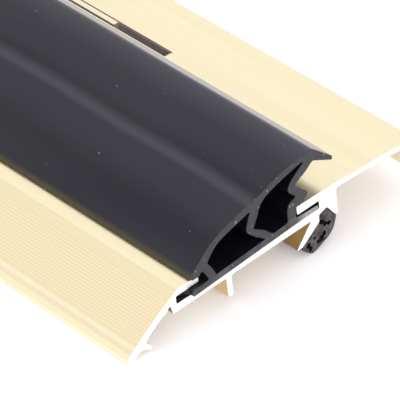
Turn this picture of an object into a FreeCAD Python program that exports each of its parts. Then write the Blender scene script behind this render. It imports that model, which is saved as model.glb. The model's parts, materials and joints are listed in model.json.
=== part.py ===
import FreeCAD, Part
import math
import os

# A door threshold strip: an aluminium extrusion with a hollow rubber seal clipped into its grooves.
# X runs along the strip, Y from the outer toe to the inner edge, Z up. The origin is at the middle
# of the base. A place in the cross-section is given as (w, z), where w is the distance from the
# outer toe and z the height above the metal feet. A corner is (w, z, rounding radius).

# Driving dimensions, mm
LENGTH = 914.0  # 36 inch strip
WIDTH = 101.6  # outer toe to inner edge, 4 inch
GASKET_HANG = 4.0  # how far the bedding gasket hangs below the metal feet
RAMP_START = (0.2, 1.6)
RAMP_CREST = (18.0, 12.8)
RAMP_BULGE = 0.55  # how far the ramp's face stands out from a straight line
RAMP_THICKNESS = 2.0
WEB_TOP = 8.7
WEB_THICKNESS = 2.3
GROOVE_HEIGHT = 2.4
LIP_TOP = 13.7
DECK_THICKNESS = 1.6
DECK_LINE = ((66.5, 13.5), (74.2, 13.2), (80.6, 12.7), (88.5, 12.15), (95.5, 11.4))  # upper face
RIB_COUNT = 19
RIB_PITCH = 0.84
FIRST_RIB = 4.2  # where the ribs begin, measured up the ramp from the toe
RIB_DEPTH = 0.22
SEAL_TOP = 28.5  # the seal's highest line above the feet
STRIP_THICKNESS = 1.9  # the part of the seal clipped under both lips
STUB_TOP = 13.9  # the back wall folds above this height
CROWN_UNDER = 21.8  # where the inner rib meets the crown
SEAL_STICK_OUT = 1.5  # the seal is cut this much long at its front edge
STICK_OUT_START = 20.0  # the slanting cut runs between these two widths
STICK_OUT_END = 59.0
SEAL_REAR = 76.0  # clear of the rear lip
SLOT_LENGTH = 80.0
SLOT_WIDTH = 2.8
SLOT_X = 343.5  # a slot's middle, on each side of the strip's middle
SLOT_W = 82.0
BAR_LENGTH = 58.0
BAR_NECK_HALF = 0.85
BAR_FOOT_HALF = 1.95
BAR_FOOT_LOW = 7.85
BAR_FOOT_TOP = 9.15
BAR_TOP = 12.9  # just above the deck
LINER_WALL = 1.0
LINER_SHOULDER = 10.1  # where the liner narrows to pass up through the slot
LINER_TOP = 12.3
LINER_END_WALL = 0.6
HOLE_RADIUS = 2.25  # for a number 8 wood screw
HEAD_RADIUS = 3.9
HEAD_DEPTH = 1.4
HOLE_W = 47.0
HOLE_X = (130.0, 390.0)  # on each side of the strip's middle

# Clearances, mm
SEAT_GAP = 0.1  # a rubber part and the metal that holds it
FLEX_GAP = 0.35  # the moving crown and the walls below it
RUN_GAP = 0.25  # a bar and its liner

WEB_UNDER = WEB_TOP - WEB_THICKNESS
GROOVE_ROOF = WEB_TOP + GROOVE_HEIGHT
STRIP_TOP = WEB_TOP + SEAT_GAP + STRIP_THICKNESS
SEAL_LENGTH = LENGTH + 2 * SEAL_STICK_OUT
LINER_LENGTH = SLOT_LENGTH - 2 * SEAT_GAP
CHANNEL_LENGTH = LINER_LENGTH - 2 * LINER_END_WALL


def place(w, z, x=0.0):
    return FreeCAD.Vector(x, w - WIDTH / 2, z + GASKET_HANG)


def rounded_wire(corners, x):
    """A closed wire round the corners: straight sides joined by tangent arcs."""
    points = [place(w, z, x) for w, z, _ in corners]
    sides = []
    arcs = []
    for number, (_, _, radius) in enumerate(corners):
        here = points[number]
        back = (points[number - 1] - here).normalize()
        ahead = (points[(number + 1) % len(points)] - here).normalize()
        half = back.getAngle(ahead) / 2
        run = radius / math.tan(half)
        first = here + back * run
        last = here + ahead * run
        arc = None
        if radius:
            inward = (back + ahead).normalize()
            middle = here + inward * (radius / math.sin(half) - radius)
            arc = Part.Arc(first, middle, last).toShape()
        arcs.append(arc)
        sides.append((first, last))
    edges = []
    for number, arc in enumerate(arcs):
        if arc:
            edges.append(arc)
        leaving = sides[number][1]
        arriving = sides[(number + 1) % len(sides)][0]
        edges.append(Part.LineSegment(leaving, arriving).toShape())
    return Part.Wire(edges)


def prism(corners, length, middle_x=0.0):
    """The cross-section's outline, drawn out along the strip."""
    face = Part.Face(rounded_wire(corners, middle_x - length / 2))
    return face.extrude(FreeCAD.Vector(length, 0, 0))


def sharp(*points):
    return [(w, z, 0) for w, z in points]


def ramp_point(share, depth=0.0):
    """A point of the ramp's face, from 0 at the toe to 1 at the crest, or this far below the face."""
    start_w, start_z = RAMP_START
    run = RAMP_CREST[0] - start_w
    rise = RAMP_CREST[1] - start_z
    slant = math.hypot(run, rise)
    out = RAMP_BULGE * 4 * share * (1 - share) - depth
    return start_w + share * run - out * rise / slant, start_z + share * rise + out * run / slant


def ribbed_ramp():
    """The ramp's face with its fine grooves, from the toe up to the smooth band at the crest."""
    slant = math.dist(ramp_point(0), ramp_point(1))
    points = []
    for groove in range(RIB_COUNT):
        for offset, depth in ((0.3, 0), (0.5, RIB_DEPTH), (0.7, 0)):
            along = FIRST_RIB + (groove + offset) * RIB_PITCH
            points.append(ramp_point(along / slant, depth))
    return sharp(*points)


def ramp_underside():
    """The ramp's inner face, from the notch behind the groove down to the toe's hook."""
    return [(*ramp_point(share, RAMP_THICKNESS), 0) for share in (0.64, 0.52, 0.40)]


def threshold_extrusion():
    toe = [(0.0, 0.0, 0.35), (0.0, 1.2, 0.4)]
    front_groove = [
        (*RAMP_CREST, 2.0),
        (20.6, 13.3, 3.0),
        (25.0, 12.5, 0.4),
        (25.0, GROOVE_ROOF, 0.4),
        (17.5, GROOVE_ROOF, 0.3),
        (17.5, WEB_TOP, 0.3),
    ]
    rear_groove = [
        (66.6, WEB_TOP, 0.3),
        (66.6, GROOVE_ROOF, 0.3),
        (59.1, GROOVE_ROOF, 0.4),
        (59.1, LIP_TOP, 0.4),
    ]
    deck = sharp(*DECK_LINE)
    inner_edge = [(WIDTH, 10.7, 1.2), (WIDTH, 0.0, 0.3)]
    deck_underside = [
        (WIDTH - DECK_THICKNESS, 0.0, 0.3),
        (WIDTH - DECK_THICKNESS, 10.9 - DECK_THICKNESS, 0.8),
        *[(w, z - DECK_THICKNESS, 0) for w, z in reversed(DECK_LINE[2:])],
        (72.7, 13.2 - DECK_THICKNESS, 1.0),
    ]
    gasket_pocket = [
        (72.7, 3.7, 0.3),
        (71.6, 3.7, 0.2),
        (69.1, 7.6, 0.4),
        (66.3, 6.7, 0.2),
        (66.2, 4.6, 0.3),
    ]
    slanted_leg = [(59.8, 0.0, 0.2), (57.9, 0.0, 0.2), (63.6, WEB_UNDER, 0.6)]
    front_leg = [
        (35.8, WEB_UNDER, 0.6),
        (35.8, 0.0, 0.2),
        (34.0, 0.0, 0.2),
        (34.0, WEB_UNDER, 0.6),
    ]
    notch = [(16.0, WEB_UNDER, 0.2), (15.5, 9.2, 0.2), (14.9, 9.2, 0.2), (14.2, 8.3, 0.2)]
    toe_hook = [
        (6.4, 3.3, 0.3),
        (8.5, 0.9, 0.3),
        (7.8, 0.1, 0.3),
        (5.6, 1.6, 0.5),
        (4.0, 1.6, 0.5),
        (1.9, 0.0, 0.3),
    ]
    outline = toe + ribbed_ramp() + front_groove + rear_groove + deck + inner_edge + deck_underside
    outline += gasket_pocket + slanted_leg + front_leg + notch + ramp_underside() + toe_hook
    metal = prism(outline, LENGTH)
    for side in (-1, 1):
        metal = metal.cut(deck_slot(side * SLOT_X))
        for hole_x in HOLE_X:
            metal = metal.cut(screw_hole(side * hole_x))
    return metal


def deck_slot(middle_x):
    half = SLOT_WIDTH / 2
    low, high = 8.0, 15.0
    outline = sharp(
        (SLOT_W - half, low), (SLOT_W + half, low), (SLOT_W + half, high), (SLOT_W - half, high)
    )
    return prism(outline, SLOT_LENGTH, middle_x)


def screw_hole(x):
    """A countersunk hole through the web, under the seal."""
    up = FreeCAD.Vector(0, 0, 1)
    shank = Part.makeCylinder(HOLE_RADIUS, WEB_TOP, place(HOLE_W, 0.0, x), up)
    head_foot = place(HOLE_W, WEB_TOP - HEAD_DEPTH, x)
    head = Part.makeCone(HOLE_RADIUS, HEAD_RADIUS, HEAD_DEPTH, head_foot, up)
    return shank.fuse(head)


def cut_ends(seal):
    """Trims a seal wall to the slightly slanting cut of the rubber's ends."""
    end_cut = ((STICK_OUT_START, SEAL_STICK_OUT), (STICK_OUT_END, 0.0), (SEAL_REAR, 0.0))
    plan = [place(w, 0.0, LENGTH / 2 + stick_out) for w, stick_out in end_cut]
    plan += [place(w, 0.0, -LENGTH / 2 - stick_out) for w, stick_out in reversed(end_cut)]
    plan.append(plan[0])
    column = Part.Face(Part.makePolygon(plan)).extrude(FreeCAD.Vector(0, 0, SEAL_TOP))
    return seal.common(column)


def seal_base():
    """The strip clipped under both lips, the leaning front strut and the foot of the back wall."""
    bottom = WEB_TOP + SEAT_GAP
    outline = [
        (22.0, bottom, 0.3),
        (66.3, bottom, 0.3),
        (66.3, STRIP_TOP, 0.5),
        (58.8, STRIP_TOP, 0),
        (58.8, STUB_TOP, 0),
        (55.9, STUB_TOP, 0),
        (55.9, STRIP_TOP, 0.6),
        (30.2, STRIP_TOP, 0.8),
        (29.1, 14.4, 0),
        (27.0, 12.8, 0),
        (27.8, STRIP_TOP, 0.8),
        (22.0, STRIP_TOP, 0.5),
    ]
    return cut_ends(prism(outline, SEAL_LENGTH))


def seal_inner_rib():
    """The zigzag wall between the two chambers."""
    top = CROWN_UNDER - FLEX_GAP
    outline = [
        (47.8, STRIP_TOP, 0),
        (50.4, STRIP_TOP, 0),
        (47.9, 13.4, 1.5),
        (44.5, 15.8, 0.5),
        (46.2, 18.6, 2.0),
        (47.4, top, 0),
        (44.1, top, 0),
        (42.1, 17.2, 1.2),
        (42.3, 15.8, 1.2),
        (44.2, 13.5, 2.0),
    ]
    return cut_ends(prism(outline, SEAL_LENGTH))


def seal_back_bellows():
    """The folded back wall, which closes up as the crown is pressed down."""
    outline = [
        (55.9, STUB_TOP, 0),
        (58.8, STUB_TOP, 0),
        (61.8, 14.8, 1.0),
        (63.5, 15.9, 0.6),
        (59.1, 20.7, 0.6),
        (63.5, 22.9, 1.0),
        (65.4, 24.4, 0),
        (62.0, 25.8, 0),
        (57.4, 22.5, 1.0),
        (56.4, 19.9, 1.0),
        (59.5, 17.0, 0.4),
        (56.6, 16.0, 1.0),
    ]
    return cut_ends(prism(outline, SEAL_LENGTH))


def seal_crown():
    """The top wall, from the nose over the front lip to the tapering rear lip."""
    outside = [
        (22.5, 13.6, 0.5),
        (24.8, 15.4, 2.0),
        (28.9, 19.0, 5.0),
        (33.0, 21.2, 6.0),
        (37.2, 22.4, 8.0),
        (43.7, 23.8, 6.0),
        (45.4, 24.5, 1.0),
        (48.8, 25.3, 6.0),
        (56.1, 27.3, 10.0),
        (60.0, 27.9, 8.0),
        (65.8, SEAL_TOP, 2.0),
        (73.5, 21.3, 0.5),
        (73.2, 20.1, 0.5),
    ]
    inside = [
        (65.8, 24.7, 1.0),
        (62.3, 26.1, 0.5),
        (55.8, 25.1, 8.0),
        (51.8, 24.1, 6.0),
        (48.8, 22.9, 2.0),
        (47.5, CROWN_UNDER, 0),
        (44.1, CROWN_UNDER, 0),
        (39.0, 20.6, 8.0),
        (34.8, 19.6, 6.0),
        (32.6, 18.8, 2.0),
        (30.4, 17.0, 2.0),
        (28.9, 14.8, 0.2),
        (26.8, 13.2, 0.2),
        (23.1, 13.1, 0.2),
    ]
    return cut_ends(prism(outside + inside, SEAL_LENGTH))


def base_gasket():
    """The bedding gasket, gripped between the slanted leg and the block."""
    outline = [
        (60.1, -0.3, 0.5),
        (62.0, -GASKET_HANG, 0.8),
        (63.8, -GASKET_HANG, 0.8),
        (68.5, -2.2, 1.5),
        (70.9, 0.2, 1.0),
        (72.1, 3.4, 0.3),
        (71.3, 3.9, 0),
        (69.0, 7.4, 0.4),
        (66.5, 6.6, 0.2),
        (66.5, 4.5, 0.3),
    ]
    return prism(outline, LENGTH)


def t_section(foot_half, low, shoulder, neck_half, top, rounding=0):
    """A T standing on its head, about the middle line of a slot."""
    return [
        (SLOT_W - foot_half, low, 0),
        (SLOT_W + foot_half, low, 0),
        (SLOT_W + foot_half, shoulder, 0),
        (SLOT_W + neck_half, shoulder, 0),
        (SLOT_W + neck_half, top, rounding),
        (SLOT_W - neck_half, top, rounding),
        (SLOT_W - neck_half, shoulder, 0),
        (SLOT_W - foot_half, shoulder, 0),
    ]


def slot_liner(middle_x):
    """A liner that fills the deck slot, with a T-shaped channel for the bar."""
    channel_half = BAR_FOOT_HALF + RUN_GAP
    channel_low = BAR_FOOT_LOW - RUN_GAP
    channel = t_section(
        channel_half,
        channel_low,
        BAR_FOOT_TOP + RUN_GAP,
        BAR_NECK_HALF + RUN_GAP,
        SEAL_TOP,
    )
    outline = t_section(
        channel_half + LINER_WALL,
        channel_low - LINER_WALL,
        LINER_SHOULDER,
        SLOT_WIDTH / 2 - SEAT_GAP,
        LINER_TOP,
    )
    body = prism(outline, LINER_LENGTH, middle_x)
    return body.cut(prism(channel, CHANNEL_LENGTH, middle_x))


def slot_bar(middle_x):
    """A T-section bar that slides along its liner. It stands at the end nearer the strip's middle."""
    outline = t_section(BAR_FOOT_HALF, BAR_FOOT_LOW, BAR_FOOT_TOP, BAR_NECK_HALF, BAR_TOP, 0.25)
    return prism(outline, BAR_LENGTH, middle_x)


def bar_middle(side):
    """The middle of a bar that stands one clearance off the inner end of its channel."""
    return side * (SLOT_X - CHANNEL_LENGTH / 2 + RUN_GAP + BAR_LENGTH / 2)


parts = {
    "threshold_extrusion": threshold_extrusion(),
    "seal_base": seal_base(),
    "seal_inner_rib": seal_inner_rib(),
    "seal_back_bellows": seal_back_bellows(),
    "seal_crown": seal_crown(),
    "base_gasket": base_gasket(),
}
for letter, side in (("a", 1), ("b", -1)):
    parts["slot_liner_" + letter] = slot_liner(side * SLOT_X)
    parts["slot_bar_" + letter] = slot_bar(bar_middle(side))

os.makedirs("parts", exist_ok=True)
for name, shape in parts.items():
    shape.exportStep("parts/" + name + ".step")
    print(name, shape.isValid(), len(shape.Solids), round(shape.Volume, 1))
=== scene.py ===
import json
import math

import bmesh
import bpy
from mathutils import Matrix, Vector, noise
from mathutils.geometry import tessellate_polygon


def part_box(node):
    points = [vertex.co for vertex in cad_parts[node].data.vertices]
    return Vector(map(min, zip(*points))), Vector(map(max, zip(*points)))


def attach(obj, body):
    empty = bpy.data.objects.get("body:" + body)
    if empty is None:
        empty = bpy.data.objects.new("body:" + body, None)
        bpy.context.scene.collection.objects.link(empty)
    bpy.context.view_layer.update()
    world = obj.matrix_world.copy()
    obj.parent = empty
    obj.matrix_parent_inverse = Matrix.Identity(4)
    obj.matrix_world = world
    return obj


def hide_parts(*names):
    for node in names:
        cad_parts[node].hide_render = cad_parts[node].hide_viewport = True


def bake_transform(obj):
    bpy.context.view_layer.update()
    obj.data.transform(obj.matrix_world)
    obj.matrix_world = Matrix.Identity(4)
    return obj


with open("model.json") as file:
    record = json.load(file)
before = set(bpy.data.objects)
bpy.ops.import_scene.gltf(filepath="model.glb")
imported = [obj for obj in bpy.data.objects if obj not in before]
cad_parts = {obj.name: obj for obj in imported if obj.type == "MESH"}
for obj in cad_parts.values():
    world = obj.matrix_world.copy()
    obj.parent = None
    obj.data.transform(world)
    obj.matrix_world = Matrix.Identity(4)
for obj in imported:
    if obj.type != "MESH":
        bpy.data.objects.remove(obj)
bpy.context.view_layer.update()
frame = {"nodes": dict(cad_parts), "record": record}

# The looks of a door threshold strip: a gold aluminium extrusion, a hollow rubber seal, a bedding
# gasket, and two sliding bars in lined slots. Sections are drawn as (w, z) in millimetres, where
# w runs from the outer toe to the inner edge and z up from the metal feet. A corner is
# (w, z, cut), and its rounding starts that far before the corner. SOFT rounds it all it can.

MM = 0.001
SOFT = 99.0
SHARP_ANGLE = math.radians(38)  # edges bent more than this stay sharp
METAL_LOW, METAL_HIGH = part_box("threshold_extrusion")
HALF_LENGTH = METAL_HIGH.x / MM
WIDTH = (METAL_HIGH.y - METAL_LOW.y) / MM

# Metal
METAL_EDGE_BREAK = 0.12
RAMP_START = (0.2, 1.6)
RAMP_CREST = (18.0, 12.8)
RAMP_BULGE = 0.55
RAMP_THICKNESS = 2.0
RIB_COUNT = 19
RIB_PITCH = 0.84
FIRST_RIB = 4.2  # where the ribs begin, measured up the ramp from the toe
FAINT_RIBS = 3  # the last ribs before the crest are shallow
RIB_SHAPE = ((0.22, 0.0), (0.38, 0.11), (0.5, 0.165), (0.62, 0.11), (0.78, 0.0))
TOE_DIP = ((0.06, 0.0), (0.08, 0.06), (0.1, 0.12), (0.12, 0.06), (0.14, 0.0))
# The parts of the section whose gold is painted darker as painted shade: (low w, high w)
TOE_BAND = (1.2, 2.2)
RIBBED = (3.1, 18.2)
LEGS = (33.0, 66.0)
NOTCH = (14.0, 16.1)
GROOVES = (17.4, 66.7)
SLOT_HALF_WIDTH = 1.4
SLOT_END_GAP = 0.1
SLOT_CUT = (8.0, 15.0)  # how low and how high each cutting tool reaches
SHANK_CUT = (5.0, 9.5)
HEAD_CUT = (6.9, 9.1)
HEAD_NARROWER = 0.4  # the head's cutting cone, next to the hole's radius
HEAD_WIDER = 2.05

# Gasket
LUMP_HEIGHT = 0.7
LUMP_GRAIN = (0.35, 0.5, 0.5)  # lumps per millimetre along x, w and z
LUMPS_BELOW = 3.0
GASKET_FOOT = -4.0
LUMPS_FADE = 1.5
PIT_LUMPINESS = 0.5
PIT_GRAIN = 1.6
# Torn pits in the gasket's cut ends: (w, z, radius)
PITS = (
    (66.9, 4.0, 0.8),
    (67.8, 2.9, 0.75),
    (69.1, 2.5, 0.7),
    (67.3, 0.0, 0.8),
    (66.2, -0.8, 0.85),
    (65.0, -1.2, 0.6),
    (61.7, -0.6, 0.8),
    (62.3, -2.0, 0.7),
    (63.9, 0.7, 0.5),
)

# Rubber
SEAL_FRONT = 22.0
SEAL_STICK_OUT = 1.5  # how far the seal's front edge is cut longer than the metal
STICK_OUT_START = 20.0
STICK_OUT_END = 59.0
STICK_OUT_LOW = 10.7  # the cut leans back above this height
STICK_OUT_FADE = 3.0
SEAL_EDGE_BREAK = 0.18
STATION_STEP = 12.0
LIP_START = 65.5
LIP_WIDTH = 8.0
LIP_DRAW_IN = 0.9  # how far the lip is drawn back at its cut ends
FLARE_FROM = 19.0  # only what is higher than this flares
LIP_FLARE = 1.0  # how far the lip springs up at its cut ends
FLARE_LENGTH = 7.0
FRONT_TONGUE = 3.8  # the strip fills the front groove, but its corners are nipped off
FRONT_TONGUE_REACH = 2.0
FRONT_TONGUE_FADE = 2.0
WAVE_HEIGHT = 0.14
WAVE_SCALE = 0.011  # waves per millimetre along the strip
WAVE_SCALE_ACROSS = 0.03
WAVE_DROP = 0.8  # keeps the waves below the seal's highest line
CROWN_FROM = 16.0
CROWN_TO = 22.0
# How grey the rubber's skin is painted across the section: a painted highlight on the ridge, painted
# shade in the valley behind it and low on the front, a painted reflection on the rear lip and a painted
# shadow at the lip's edge
SKIN_PAINTED_LIGHT = (
    (22.0, 0.014),
    (26.0, 0.0105),
    (31.0, 0.007),
    (36.0, 0.017),
    (42.6, 0.019),
    (44.2, 0.043),
    (45.6, 0.036),
    (47.8, 0.01),
    (51.0, 0.0175),
    (57.5, 0.018),
    (61.0, 0.031),
    (65.2, 0.05),
    (66.4, 0.07),
    (67.0, 0.29),
    (72.6, 0.34),
    (73.5, 0.16),
)


def place(x, w, z):
    """A point of the row frame from its place along the strip and in the section, in millimetres."""
    return Vector((x * MM, METAL_LOW.y + w * MM, METAL_LOW.z + z * MM))


def sharp(*points):
    return [(w, z, 0.0) for w, z in points]


def soft(*points):
    return [(w, z, SOFT) for w, z in points]


def rounded(corners, steps=5):
    """The closed outline through the corners, each cut off by a smooth curve."""
    points = []
    for number, (w, z, cut) in enumerate(corners):
        here = Vector((w, z))
        if not cut:
            points.append(here)
            continue
        back = Vector(corners[number - 1][:2]) - here
        ahead = Vector(corners[(number + 1) % len(corners)][:2]) - here
        start = here + back.normalized() * min(cut, back.length * 0.499)
        end = here + ahead.normalized() * min(cut, ahead.length * 0.499)
        for step in range(steps + 1):
            t = step / steps
            points.append(start.lerp(here, t).lerp(here.lerp(end, t), t))
    return points


def shrunk(points, depth):
    """The closed outline moved towards its material, which lies on its left, by this depth."""
    moved = []
    for number, here in enumerate(points):
        back = (here - points[number - 1]).normalized()
        ahead = (points[(number + 1) % len(points)] - here).normalized()
        along = (back + ahead).normalized()
        moved.append(here + Vector((-along.y, along.x)) * depth)
    return moved


def add_ring(mesh, loops, to_point):
    return [[mesh.verts.new(to_point(*point)) for point in loop] for loop in loops]


def add_cap(mesh, ring, loops, faces_plus_x):
    """Closes an end with flat triangles that leave the section's holes open."""
    corners = [vert for loop in ring for vert in loop]
    flat = [[Vector((w, z, 0.0)) for w, z in loop] for loop in loops]
    for triangle in tessellate_polygon(flat):
        a, b, c = [corners[index] for index in triangle]
        face = mesh.faces.new((a, b, c))
        face.normal_update()
        if (face.normal.x > 0) != faces_plus_x:
            face.normal_flip()
        face.material_index = 1


def extruded(name, loops, stations, edge_break, to_point, materials):
    """An object of this section, drawn out through the stations from -X to +X.

    The first loop is the outline and the others are holes. Every loop has its material on its
    left. Both ends are cut flat, with a small edge break, and take the second material. The
    walls of the holes take the third.
    """
    mesh = bmesh.new()
    small = [shrunk(loop, edge_break) for loop in loops]
    sections = [small] + [loops] * len(stations[1:-1]) + [small]
    rings = []
    for x, section in zip(stations, sections):
        rings.append(add_ring(mesh, section, lambda w, z, x=x: to_point(x, w, z)))
    for step, (first, second) in enumerate(zip(rings, rings[1:])):
        is_edge_break = step in (0, len(rings) - 2)
        for loop_number, (low, high) in enumerate(zip(first, second)):
            skin = 2 if loop_number else 0
            for number in range(len(low)):
                corners = (low[number - 1], high[number - 1], high[number], low[number])
                wall = mesh.faces.new(corners)
                wall.material_index = 1 if is_edge_break else skin
    for ring, faces_plus_x in ((rings[0], False), (rings[-1], True)):
        add_cap(mesh, ring, small, faces_plus_x)
    for face in mesh.faces:
        face.smooth = True
    data = bpy.data.meshes.new(name)
    mesh.to_mesh(data)
    mesh.free()
    for material in materials:
        data.materials.append(material)
    data.set_sharp_from_angle(angle=SHARP_ANGLE)
    made = bpy.data.objects.new(name, data)
    bpy.context.scene.collection.objects.link(made)
    return made


def end_stations(half_length, edge_break, inner):
    """Stations from end to end: the edge breaks, the distances in `inner`, and even steps between."""
    near = [0.0, edge_break, *inner]
    reach = half_length - near[-1]
    steps = max(1, round(2 * reach / STATION_STEP))
    middle = [-reach + 2 * reach * step / steps for step in range(1, steps)]
    left = [-half_length + distance for distance in near]
    return left + middle + [-x for x in reversed(left)]


# ---------------------------------------------------------------- materials


class Shader:
    """A material built from nodes round one principled shader."""

    def __init__(self, name, roughness, metallic=0.0):
        self.material = bpy.data.materials.new(name)
        self.material.use_nodes = True
        self.tree = self.material.node_tree
        self.surface = self.tree.nodes["Principled BSDF"]
        self.surface.inputs["Metallic"].default_value = metallic
        self.surface.inputs["Roughness"].default_value = roughness
        self.coordinates = self.tree.nodes.new("ShaderNodeTexCoord").outputs["Object"]

    def stretched(self, scale):
        """Object coordinates in millimetres, multiplied by this scale on each axis."""
        mapping = self.tree.nodes.new("ShaderNodeMapping")
        mapping.inputs["Scale"].default_value = [value / MM for value in scale]
        self.tree.links.new(self.coordinates, mapping.inputs["Vector"])
        return mapping.outputs["Vector"]

    def noise(self, scale, detail=3.0):
        """A noise between 0 and 1 whose grain is 1/scale millimetres on each axis."""
        node = self.tree.nodes.new("ShaderNodeTexNoise")
        node.inputs["Scale"].default_value = 1.0
        node.inputs["Detail"].default_value = detail
        self.tree.links.new(self.stretched(scale), node.inputs["Vector"])
        return node.outputs["Fac"]

    def ramp(self, value, *stops):
        """A colour ramp with stops of (position, colour)."""
        node = self.tree.nodes.new("ShaderNodeValToRGB")
        elements = node.color_ramp.elements
        elements[0].position, elements[0].color = stops[0][0], (*stops[0][1], 1.0)
        elements[1].position, elements[1].color = stops[-1][0], (*stops[-1][1], 1.0)
        for position, colour in stops[1:-1]:
            elements.new(position).color = (*colour, 1.0)
        self.tree.links.new(value, node.inputs["Fac"])
        return node.outputs["Color"]

    def between(self, value, low, high):
        """The value's middle range, 0.3 to 0.7, stretched from low to high."""
        node = self.tree.nodes.new("ShaderNodeMapRange")
        node.inputs["From Min"].default_value = 0.3
        node.inputs["From Max"].default_value = 0.7
        node.inputs["To Min"].default_value = low
        node.inputs["To Max"].default_value = high
        self.tree.links.new(value, node.inputs["Value"])
        return node.outputs["Result"]

    def mix(self, factor, first, second):
        """First where the factor is 0 and second where it is 1. A colour may be a socket or a triple."""
        node = self.tree.nodes.new("ShaderNodeMix")
        node.data_type = "RGBA"
        self.tree.links.new(factor, node.inputs["Factor"])
        for socket, colour in ((node.inputs["A"], first), (node.inputs["B"], second)):
            if isinstance(colour, tuple):
                socket.default_value = (*colour, 1.0)
            else:
                self.tree.links.new(colour, socket)
        return node.outputs["Result"]

    def axis(self, name):
        """One object coordinate, X, Y or Z."""
        node = self.tree.nodes.new("ShaderNodeSeparateXYZ")
        self.tree.links.new(self.coordinates, node.inputs["Vector"])
        return node.outputs[name]

    def math(self, operation, first, second):
        node = self.tree.nodes.new("ShaderNodeMath")
        node.operation = operation
        for socket, value in zip(node.inputs, (first, second)):
            if isinstance(value, float):
                socket.default_value = value
            else:
                self.tree.links.new(value, socket)
        return node.outputs["Value"]

    def across(self, low_w, high_w, wander=None):
        """0 to 1 from one section place to the other, moved to and fro by `wander` millimetres."""
        here = self.axis("Y")
        if wander:
            here = self.math("ADD", here, self.math("MULTIPLY", wander, MM))
        from_low = self.math("SUBTRACT", here, METAL_LOW.y + low_w * MM)
        return self.math("DIVIDE", from_low, (high_w - low_w) * MM)

    def inside(self, w_range, z_range):
        """1 inside this box of the section and 0 outside it."""
        factor = None
        for axis, origin, limits in (("Y", METAL_LOW.y, w_range), ("Z", METAL_LOW.z, z_range)):
            for side, limit in zip(("GREATER_THAN", "LESS_THAN"), limits):
                there = self.math(side, self.axis(axis), origin + limit * MM)
                factor = self.math("MULTIPLY", factor, there) if factor else there
        return factor

    def colour(self, socket):
        self.tree.links.new(socket, self.surface.inputs["Base Color"])

    def roughness(self, socket):
        self.tree.links.new(socket, self.surface.inputs["Roughness"])

    def bump(self, height, distance):
        """Raises the surface by up to this many millimetres."""
        node = self.tree.nodes.new("ShaderNodeBump")
        node.inputs["Distance"].default_value = distance * MM
        self.tree.links.new(height, node.inputs["Height"])
        self.tree.links.new(node.outputs["Normal"], self.surface.inputs["Normal"])


def gold_metal():
    """Pale gold anodised aluminium with faint drawing lines along the strip.

    The ribs and the toe dip are painted a little duller and the legs' inner faces deeper in colour, and
    the notch and the grooves are painted dark, all as painted shade.
    """
    shader = Shader("gold_anodised", 0.25, metallic=0.9)
    lines = shader.noise((0.006, 0.25, 0.25))
    colour = shader.ramp(lines, (0.3, (0.955, 0.84, 0.58)), (0.7, (0.985, 0.88, 0.62)))
    # Painted shade: darker gold on the ribbed ramp and toe dip, the shaded legs, the notch and inside
    # the grooves
    for w_range, z_range, tone in (
        (TOE_BAND, (0.0, 14.0), (0.9, 0.79, 0.55)),
        (RIBBED, (0.0, 14.0), (0.9, 0.775, 0.515)),
        (LEGS, (-0.1, 6.45), (0.78, 0.64, 0.36)),
        (NOTCH, (6.5, 9.4), (0.2, 0.17, 0.14)),
        (GROOVES, (8.6, 11.15), (0.2, 0.13, 0.13)),
    ):
        colour = shader.mix(shader.inside(w_range, z_range), colour, tone)
    shader.colour(colour)
    shader.roughness(shader.between(lines, 0.2, 0.28))
    shader.bump(lines, 0.0008)
    return shader.material


def cut_metal():
    """Bare aluminium, sawn across, with fine marks left by the blade."""
    shader = Shader("cut_metal", 0.4, metallic=0.9)
    marks = shader.noise((1.0, 0.35, 4.0))
    shader.colour(shader.ramp(marks, (0.3, (0.92, 0.91, 0.89)), (0.7, (0.98, 0.975, 0.96))))
    shader.roughness(shader.between(marks, 0.34, 0.5))
    shader.bump(marks, 0.006)
    return shader.material


def seal_skin():
    """Black extruded rubber with painted light and shade: bands of painted highlight, shade and
    reflection across the section, a painted olive reflection of the gold along its front edge, painted
    shade inside the grooves, patches of grey bloom and a few specks of dust.
    """
    shader = Shader("seal_rubber", 0.5)
    shader.surface.inputs["Specular IOR Level"].default_value = 0.3
    shader.surface.inputs["Specular Tint"].default_value = (0.96, 0.93, 1.0, 1.0)
    wander = shader.between(shader.noise((0.012, 0.0, 0.0), detail=1.0), -0.9, 0.9)
    stops = [((w - SKIN_PAINTED_LIGHT[0][0]) / (SKIN_PAINTED_LIGHT[-1][0] - SKIN_PAINTED_LIGHT[0][0]), grey) for w, grey in SKIN_PAINTED_LIGHT]
    # Painted highlight on the ridge, painted reflection on the rear lip, painted shade between them and
    # at the lip's edge
    painted_bands = shader.ramp(
        shader.across(SKIN_PAINTED_LIGHT[0][0], SKIN_PAINTED_LIGHT[-1][0], wander),
        *[(position, (grey * 1.08, grey * 1.05, grey * 1.25 + 0.004)) for position, grey in stops],
    )
    # Painted reflection: an olive tint of the gold crest along the rubber's front edge
    front = shader.ramp(shader.across(22.4, 23.8), (0.0, (1, 1, 1)), (1.0, (0, 0, 0)))
    edged = shader.mix(front, painted_bands, (0.08, 0.066, 0.022))
    # Painted shade: the skin inside the metal grooves, below 12 mm, is near black
    edged = shader.mix(shader.inside((0.0, WIDTH), (0.0, 12.0)), edged, (0.006, 0.005, 0.006))
    bloom = shader.noise((0.02, 0.12, 0.12), detail=5.0)
    base = shader.mix(shader.between(bloom, 0.0, 0.16), edged, (0.05, 0.047, 0.054))
    dust = shader.ramp(shader.noise((0.8, 1.3, 1.3), detail=1.0), (0.79, (0, 0, 0)), (0.82, (1, 1, 1)))
    shader.colour(shader.mix(dust, base, (0.2, 0.19, 0.185)))
    smoother = shader.ramp(
        shader.across(64.0, 68.0), (0.0, (0.46, 0.46, 0.46)), (1.0, (0.26, 0.26, 0.26))
    )
    shader.roughness(smoother)
    shader.bump(shader.noise((0.008, 0.8, 0.8)), 0.004)
    return shader.material


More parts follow.
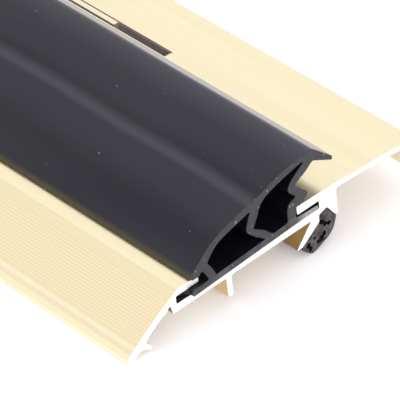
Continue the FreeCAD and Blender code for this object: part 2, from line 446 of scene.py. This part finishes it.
def cut_rubber():
    """Rubber cut across with a knife: dull, slightly torn and smeared pale along the bottom."""
    shader = Shader("cut_rubber", 0.7)
    grain = shader.noise((1.2, 1.2, 1.2), detail=4.0)
    base = shader.ramp(grain, (0.3, (0.021, 0.02, 0.024)), (0.7, (0.037, 0.035, 0.04)))
    torn = shader.ramp(shader.noise((0.9, 0.9, 0.9), detail=1.0), (0.7, (0, 0, 0)), (0.76, (1, 1, 1)))
    marked = shader.mix(torn, base, (0.26, 0.26, 0.27))
    smear = shader.ramp(shader.noise((0.2, 0.2, 0.2)), (0.42, (0, 0, 0)), (0.62, (1, 1, 1)))
    smeared = shader.mix(smear, marked, (0.06, 0.06, 0.06))
    rear = shader.ramp(shader.across(58.5, 62.0), (0.0, (0, 0, 0)), (1.0, (1, 1, 1)))
    strip = shader.mix(rear, smeared, (0.25, 0.225, 0.22))
    shader.colour(shader.mix(shader.inside((0.0, WIDTH), (0.0, 11.3)), marked, strip))
    shader.bump(grain, 0.06)
    return shader.material


def chamber_rubber():
    """The matt skin inside the seal's chambers, painted near black as painted shade for the unlit
    hollows.
    """
    shader = Shader("chamber_rubber", 0.9)
    shader.surface.inputs["Specular IOR Level"].default_value = 0.05
    grain = shader.noise((0.1, 1.0, 1.0))
    # Painted shade: near black
    shader.colour(shader.ramp(grain, (0.3, (0.003, 0.003, 0.005)), (0.7, (0.006, 0.006, 0.009))))
    return shader.material


def gasket_rubber():
    """Rough bedding rubber with a grainy surface."""
    shader = Shader("gasket_rubber", 0.7)
    grain = shader.noise((0.5, 0.6, 0.6), detail=6.0)
    shader.colour(shader.ramp(grain, (0.35, (0.01, 0.007, 0.008)), (0.65, (0.08, 0.064, 0.07))))
    shader.bump(grain, 0.5)
    return shader.material


def pit_rubber():
    """The inside of the gasket's torn pits, painted darker than the gasket as painted shade."""
    shader = Shader("pit_rubber", 0.8)
    grain = shader.noise((1.0, 1.0, 1.0))
    # Painted shade: darker than the gasket
    shader.colour(shader.ramp(grain, (0.3, (0.004, 0.002, 0.003)), (0.7, (0.02, 0.012, 0.014))))
    return shader.material


def dark_liner():
    """Dull brown-grey plastic."""
    shader = Shader("liner_plastic", 0.5)
    grain = shader.noise((0.3, 1.0, 1.0))
    shader.colour(shader.ramp(grain, (0.3, (0.36, 0.29, 0.29)), (0.7, (0.46, 0.37, 0.37))))
    shader.bump(grain, 0.02)
    return shader.material


def floor_paper():
    """White paper with a faint painted glow, which lifts the shadow under the strip and lights its
    underside.
    """
    shader = Shader("floor_paper", 0.9)
    grain = shader.noise((0.02, 0.02, 0.02))
    shader.colour(shader.ramp(grain, (0.3, (0.965, 0.955, 0.96)), (0.7, (0.975, 0.965, 0.97))))
    # Painted light: the floor glows though it is no lamp
    shader.surface.inputs["Emission Color"].default_value = (0.8, 0.78, 1.0, 1.0)
    shader.surface.inputs["Emission Strength"].default_value = 0.13
    return shader.material


# ---------------------------------------------------------------- the aluminium extrusion


def ramp_point(share, depth=0.0):
    """A point of the ramp's face, from 0 at the toe to 1 at the crest, or this far below it."""
    run = RAMP_CREST[0] - RAMP_START[0]
    rise = RAMP_CREST[1] - RAMP_START[1]
    slant = math.hypot(run, rise)
    out = RAMP_BULGE * 4 * share * (1 - share) - depth
    w = RAMP_START[0] + share * run - out * rise / slant
    return w, RAMP_START[1] + share * rise + out * run / slant


def ribbed_ramp():
    slant = math.dist(ramp_point(0), ramp_point(1))
    points = [ramp_point(share, depth) for share, depth in TOE_DIP]
    for rib in range(RIB_COUNT):
        strength = 0.9 if rib >= RIB_COUNT - FAINT_RIBS else 1.0
        for offset, depth in RIB_SHAPE:
            along = FIRST_RIB + (rib + offset) * RIB_PITCH
            points.append(ramp_point(along / slant, depth * strength))
    return sharp(*points)


def metal_section():
    """The extrusion's outline, drawn clockwise from the toe and given back the other way round."""
    front_groove = [
        (*RAMP_CREST, 1.5),
        (20.6, 13.3, 1.5),
        (25.2, 12.6, 0.4),
        (25.2, 11.1, 0.5),
        (17.5, 11.1, 0.3),
        (17.5, 8.7, 0.4),
    ]
    rear_groove = [
        (66.6, 8.7, 0.4),
        (66.6, 11.1, 0.3),
        (59.1, 11.1, 0.5),
        (59.1, 13.7, 0.6),
    ]
    deck = soft((66.5, 13.55), (74.2, 13.25))
    deck += [(79.6, 12.85, 1.0), (80.0, 12.72, 0.2), (80.4, 12.76, 0.4)]
    deck += soft((88.5, 12.15), (95.5, 11.4))
    inner_edge = [(WIDTH, 10.7, 1.4), (WIDTH, 0.0, 0.4)]
    deck_underside = [
        (100.0, 0.0, 0.4),
        (100.0, 9.3, 0.9),
        *soft((95.5, 9.85), (88.5, 10.6), (80.6, 11.15)),
        (72.7, 11.6, 1.0),
    ]
    gasket_pocket = [
        (72.7, 3.7, 0.3),
        (71.6, 3.7, 0.3),
        (69.1, 7.6, 0.7),
        (66.3, 6.7, 0.3),
        (66.2, 4.6, 0.4),
    ]
    legs = [
        (59.8, 0.0, 0.2),
        (57.9, 0.0, 0.3),
        (63.6, 6.4, 0.9),
        (35.8, 6.4, 0.9),
        (35.8, 0.0, 0.25),
        (34.0, 0.0, 0.25),
        (34.0, 6.4, 0.9),
    ]
    notch = [(16.0, 6.4, 0.2), (15.5, 9.2, 0.3), (14.9, 9.2, 0.3), (14.2, 8.3, 0.3)]
    underside = [(*ramp_point(share, RAMP_THICKNESS), SOFT) for share in (0.62, 0.5, 0.40)]
    toe_hook = [
        (6.4, 3.3, 0.4),
        (8.5, 0.9, 0.4),
        (7.8, 0.1, 0.3),
        (5.6, 1.6, 0.5),
        (4.0, 1.6, 0.5),
        (1.9, 0.0, 0.4),
        (0.0, 0.0, 0.35),
        (0.0, 1.2, 0.4),
    ]
    corners = ribbed_ramp() + front_groove + rear_groove + deck + inner_edge + deck_underside
    corners += gasket_pocket + legs + notch + underside + toe_hook
    return rounded(corners)[::-1]


def cutter(name, mesh, material_index=1):
    """A cutting tool; what it cuts takes the target's material with this index."""
    for face in mesh.faces:
        face.material_index = material_index
    data = bpy.data.meshes.new(name)
    mesh.to_mesh(data)
    mesh.free()
    made = bpy.data.objects.new(name, data)
    bpy.context.scene.collection.objects.link(made)
    return made


def slot_cutter(low, high):
    """A box cutter through the deck between two corners of the row frame."""
    mesh = bmesh.new()
    bmesh.ops.create_cube(mesh, size=1.0)
    size = high - low
    bmesh.ops.scale(mesh, vec=size, verts=mesh.verts)
    bmesh.ops.translate(mesh, vec=(low + high) / 2, verts=mesh.verts)
    return cutter("slot_cutter", mesh)


def cone_between(mesh, low_radius, high_radius, low_z, high_z, centre):
    """A round plug standing on the section height low_z, in millimetres."""
    made = bmesh.ops.create_cone(
        mesh,
        cap_ends=True,
        segments=48,
        radius1=low_radius * MM,
        radius2=high_radius * MM,
        depth=(high_z - low_z) * MM,
    )
    middle_z = METAL_LOW.z + (low_z + high_z) / 2 * MM
    bmesh.ops.translate(mesh, vec=(centre.x, centre.y, middle_z), verts=made["verts"])


def hole_cutters(centre, radius):
    """The straight hole through the web, and the countersink for a screw's head."""
    shank = bmesh.new()
    cone_between(shank, radius, radius, *SHANK_CUT, centre)
    head = bmesh.new()
    cone_between(head, radius - HEAD_NARROWER, radius + HEAD_WIDER, *HEAD_CUT, centre)
    return [cutter("shank_cutter", shank), cutter("head_cutter", head)]


def subtract(target, tools):
    """Cuts the tools out of the target and deletes them."""
    for tool in tools:
        modifier = target.modifiers.new("cut", "BOOLEAN")
        modifier.operation = "DIFFERENCE"
        modifier.object = tool
    bpy.context.view_layer.update()
    evaluated = target.evaluated_get(bpy.context.evaluated_depsgraph_get())
    carved = bpy.data.meshes.new_from_object(evaluated)
    target.modifiers.clear()
    target.data = carved
    target.data.set_sharp_from_angle(angle=SHARP_ANGLE)
    for tool in tools:
        bpy.data.objects.remove(tool)


def slot_corners(letter):
    """The deck slot's lowest and highest corners, just outside its liner's neck."""
    low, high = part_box("slot_liner_" + letter)
    centre = (low.y + high.y) / 2
    side = SLOT_HALF_WIDTH * MM
    gap = Vector((SLOT_END_GAP * MM, 0.0, 0.0))
    lowest = Vector((low.x, centre - side, METAL_LOW.z + SLOT_CUT[0] * MM)) - gap
    highest = Vector((high.x, centre + side, METAL_LOW.z + SLOT_CUT[1] * MM)) + gap
    return lowest, highest


def build_metal():
    stations = end_stations(HALF_LENGTH, METAL_EDGE_BREAK, [])
    materials = [gold_metal(), cut_metal()]
    metal = extruded(
        "gold_extrusion", [metal_section()], stations, METAL_EDGE_BREAK, place, materials
    )
    tools = [slot_cutter(*slot_corners(letter)) for letter in "ab"]
    for mount in frame["record"]["mounts"]:
        if mount["kind"] == "bolt_pattern":
            for side in (-1, 1):
                centre = Vector(mount["pos_m"])
                centre.x += side * mount["dims"]["spacing_x_mm"] / 2 * MM
                tools += hole_cutters(centre, mount["dims"]["hole_r_mm"])
    subtract(metal, tools)
    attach(metal, "frame")
    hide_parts("threshold_extrusion")
    return metal


# ---------------------------------------------------------------- the rubber seal


def seal_sections():
    """The seal's outline and its two chambers, counter-clockwise and clockwise."""
    strip = [
        (SEAL_FRONT, 8.8, 0.3),
        (66.3, 8.8, 0.3),
        (66.3, 9.95, 0.5),
        (58.7, 10.4, 0.6),
    ]
    bellows = [
        (58.9, 13.5, 0.9),
        (61.8, 14.6, 1.2),
        (63.6, 15.9, 0.7),
        (59.1, 20.7, 0.7),
        (63.5, 22.9, 1.5),
        (65.8, 24.7, 0.9),
    ]
    lip = [(73.2, 20.1, 0.3), (73.5, 21.2, 0.3), (65.9, 28.6, 1.4)]
    crown = soft(
        (60.2, 27.95),
        (56.1, 27.35),
        (52.0, 26.2),
        (48.6, 25.1),
        (46.2, 24.3),
        (43.4, 24.3),
        (41.2, 23.5),
        (37.2, 22.45),
        (33.0, 21.3),
        (28.9, 19.1),
    )
    nose = [
        (24.8, 15.4, 1.6),
        (22.5, 13.6, 0.5),
        (23.1, 12.75, 0.3),
        (25.6, 12.75, 0.3),
        (26.0, 13.2, 0.2),
        (26.8, 13.2, 0.3),
    ]
    strut_foot = [(27.2, 12.4, 0.4), (27.8, 10.7, 0.8), (SEAL_FRONT, 10.7, 0.5)]
    outline = strip + bellows + lip + crown + nose + strut_foot
    upper = [
        (62.3, 26.4, 0.3),
        (62.7, 25.8, 0.3),
        (60.4, 24.4, 1.5),
        (57.7, 22.3, 1.2),
        (56.6, 20.2, 1.2),
        (59.4, 17.0, 0.8),
        (56.5, 16.1, 1.3),
        (55.9, 13.5, 1.5),
        (55.9, 10.7, 0.9),
        (50.4, 10.7, 0.9),
        (47.9, 13.4, 1.5),
        (44.3, 15.8, 0.9),
        (46.0, 18.4, 2.0),
        (47.3, 21.6, 1.2),
        (48.8, 22.9, 1.0),
        (51.8, 24.1, 1.5),
        (55.8, 25.1, 2.0),
    ]
    lower = [
        (44.1, 21.9, 0.8),
        (42.1, 17.2, 1.6),
        (42.3, 15.8, 0.8),
        (44.2, 13.5, 1.5),
        (47.8, 10.7, 0.4),
        (30.2, 10.7, 0.3),
        (29.8, 12.8, 1.0),
        (28.6, 14.8, 0.3),
        (30.4, 17.1, 1.2),
        (32.6, 18.8, 1.5),
        (34.8, 19.6, 1.2),
        (39.0, 20.6, 2.0),
    ]
    return [rounded(outline), rounded(upper), rounded(lower)]


def smooth_step(value):
    value = min(1.0, max(0.0, value))
    return value * value * (3 - 2 * value)


def seal_point(x, w, z):
    """A point of the seal: a slanting hand cut, a sprung lip at the ends and a slight waviness."""
    share = min(1.0, max(0.0, (STICK_OUT_END - w) / (STICK_OUT_END - STICK_OUT_START)))
    share *= 1.0 - smooth_step((z - STICK_OUT_LOW) / STICK_OUT_FADE)
    from_end = HALF_LENGTH - abs(x)
    near_end = 1.0 - smooth_step(from_end / STATION_STEP)
    out = math.copysign(SEAL_STICK_OUT * share * near_end, x)
    loose = smooth_step((z - CROWN_FROM) / (CROWN_TO - CROWN_FROM))
    wave = noise.noise(Vector((x * WAVE_SCALE, w * WAVE_SCALE_ACROSS, 4.0)))
    lift = WAVE_HEIGHT * loose * (wave - WAVE_DROP)
    on_lip = min(1.0, max(0.0, (w - LIP_START) / LIP_WIDTH))
    pull = 0.0
    if z > FLARE_FROM:
        flare = on_lip * (1.0 - smooth_step(from_end / FLARE_LENGTH))
        lift += LIP_FLARE * flare
        pull -= LIP_DRAW_IN * flare
    if z < STICK_OUT_LOW + 0.2 and w < SEAL_FRONT + FRONT_TONGUE_REACH:
        tongue = 1.0 - (w - SEAL_FRONT) / FRONT_TONGUE_REACH
        pull -= FRONT_TONGUE * tongue * smooth_step((from_end - FRONT_TONGUE_FADE) / FRONT_TONGUE_FADE)
    return place(x + out, w + pull, z + lift)


def build_seal():
    stations = end_stations(HALF_LENGTH, SEAL_EDGE_BREAK, [1.5, 3.5, 6.0, 9.0, 13.0])
    materials = [seal_skin(), cut_rubber(), chamber_rubber()]
    seal = extruded(
        "rubber_seal", seal_sections(), stations, SEAL_EDGE_BREAK, seal_point, materials
    )
    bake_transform(seal)
    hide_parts("seal_base", "seal_inner_rib", "seal_back_bellows", "seal_crown")
    return seal


# ---------------------------------------------------------------- the bedding gasket


def gasket_section():
    return rounded(
        [
            (59.9, -0.3, 0.4),
            (60.9, -2.0, 0.5),
            (62.2, -3.5, 0.4),
            (63.0, -4.0, 0.4),
            (65.0, -3.4, 0.7),
            (68.7, -2.0, 1.2),
            (70.9, 0.2, 1.0),
            (72.0, 2.9, 0.5),
            (71.9, 3.6, 0.2),
            (71.2, 3.9, 0.3),
            (69.9, 6.0, 0.5),
            (69.6, 7.0, 0.3),
            (68.2, 7.2, 0.4),
            (67.0, 6.7, 0.3),
            (66.6, 6.2, 0.3),
            (66.5, 4.3, 0.4),
            (64.6, 3.3, 0.4),
            (63.5, 3.0, 0.3),
            (62.6, 1.4, 0.4),
            (61.3, 0.8, 0.3),
        ]
    )


def gasket_point(x, w, z):
    """A point of the gasket, whose lower side is lumpy."""
    place_in_noise = Vector((x * LUMP_GRAIN[0], w * LUMP_GRAIN[1], z * LUMP_GRAIN[2]))
    low_down = smooth_step((LUMPS_BELOW - z) / LUMPS_BELOW)
    hanging = low_down * smooth_step((z - GASKET_FOOT) / LUMPS_FADE)
    return place(x, w + LUMP_HEIGHT * hanging * noise.noise(place_in_noise), z)


def pit_cutter(x, w, z, size):
    """A lumpy ball that tears a pit into the gasket's cut end."""
    mesh = bmesh.new()
    bmesh.ops.create_icosphere(mesh, subdivisions=3, radius=size * MM)
    for vert in mesh.verts:
        grain = noise.noise(vert.co / MM * PIT_GRAIN + Vector((w, z, x)))
        vert.co *= 1.0 + PIT_LUMPINESS * grain
    bmesh.ops.translate(mesh, vec=place(x, w, z), verts=mesh.verts)
    return cutter("pit_cutter", mesh, material_index=2)


def build_gasket():
    near = [0.8 * step for step in range(1, 11)]
    stations = end_stations(HALF_LENGTH, SEAL_EDGE_BREAK, near)
    rubber = gasket_rubber()
    gasket = extruded(
        "bedding_gasket",
        [gasket_section()],
        stations,
        SEAL_EDGE_BREAK,
        gasket_point,
        [rubber, rubber, pit_rubber()],
    )
    pits = []
    for side in (-1, 1):
        for w, z, size in PITS:
            pits.append(pit_cutter(side * HALF_LENGTH, w, z, size))
    subtract(gasket, pits)
    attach(gasket, "frame")
    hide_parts("base_gasket")


# ---------------------------------------------------------------- liners and bars


def finish_cad_node(node, material):
    """Gives a carried-over CAD piece its material and small edge breaks."""
    piece = frame["nodes"][node]
    piece.data.materials.clear()
    piece.data.materials.append(material)
    bevel = piece.modifiers.new("edge_break", "BEVEL")
    bevel.width = 0.12 * MM
    bevel.segments = 2
    bevel.limit_method = "ANGLE"


# ---------------------------------------------------------------- floor, light and camera


def build_floor():
    """A white sheet that touches the toe and the gasket, which the strip rocks on to."""
    toe = place(0, 0, 0)
    gasket_foot = place(0, 63.0, GASKET_FOOT)
    slope = (gasket_foot.z - toe.z) / (gasket_foot.y - toe.y)
    mesh = bmesh.new()
    reach = 6.0
    corners = []
    for x, y in ((-reach, -reach), (reach, -reach), (reach, reach), (-reach, reach)):
        corners.append(mesh.verts.new((x, y, toe.z + slope * (y - toe.y) - 0.01 * MM)))
    mesh.faces.new(corners)
    data = bpy.data.meshes.new("floor")
    mesh.to_mesh(data)
    mesh.free()
    data.materials.append(floor_paper())
    floor = bpy.data.objects.new("floor", data)
    bpy.context.scene.collection.objects.link(floor)


def area_light(name, position, aim, size, power):
    data = bpy.data.lights.new(name, "AREA")
    data.size = size
    data.energy = power
    lamp = bpy.data.objects.new(name, data)
    lamp.location = position
    lamp.rotation_euler = (Vector(aim) - Vector(position)).to_track_quat("-Z", "Y").to_euler()
    bpy.context.scene.collection.objects.link(lamp)


def light_the_scene():
    world = bpy.data.worlds.new("white_room")
    world.use_nodes = True
    world.node_tree.nodes["Background"].inputs["Color"].default_value = (1.0, 1.0, 1.0, 1.0)
    world.node_tree.nodes["Background"].inputs["Strength"].default_value = 1.0
    bpy.context.scene.world = world
    bpy.context.scene.view_settings.view_transform = "Standard"
    area_light("key", (1.6, -0.25, 0.4), (0.43, 0.0, 0.01), 0.7, 9.0)


def aim_camera():
    data = bpy.data.cameras.new("camera")
    data.lens = 355.4
    data.sensor_width = 36.0
    camera = bpy.data.objects.new("camera", data)
    camera.location = (1.0488, -0.4862, 0.6439)
    look = Vector((-0.61317, 0.48090, -0.62671))
    camera.rotation_euler = look.to_track_quat("-Z", "Y").to_euler()
    camera.rotation_euler.rotate_axis("Z", math.radians(-7.15))
    bpy.context.scene.collection.objects.link(camera)
    bpy.context.scene.camera = camera


build_metal()
build_seal()
build_gasket()
liner = dark_liner()
for letter in "ab":
    finish_cad_node("slot_liner_" + letter, liner)
    finish_cad_node("slot_bar_" + letter, bpy.data.materials["gold_anodised"])
build_floor()
light_the_scene()
aim_camera()
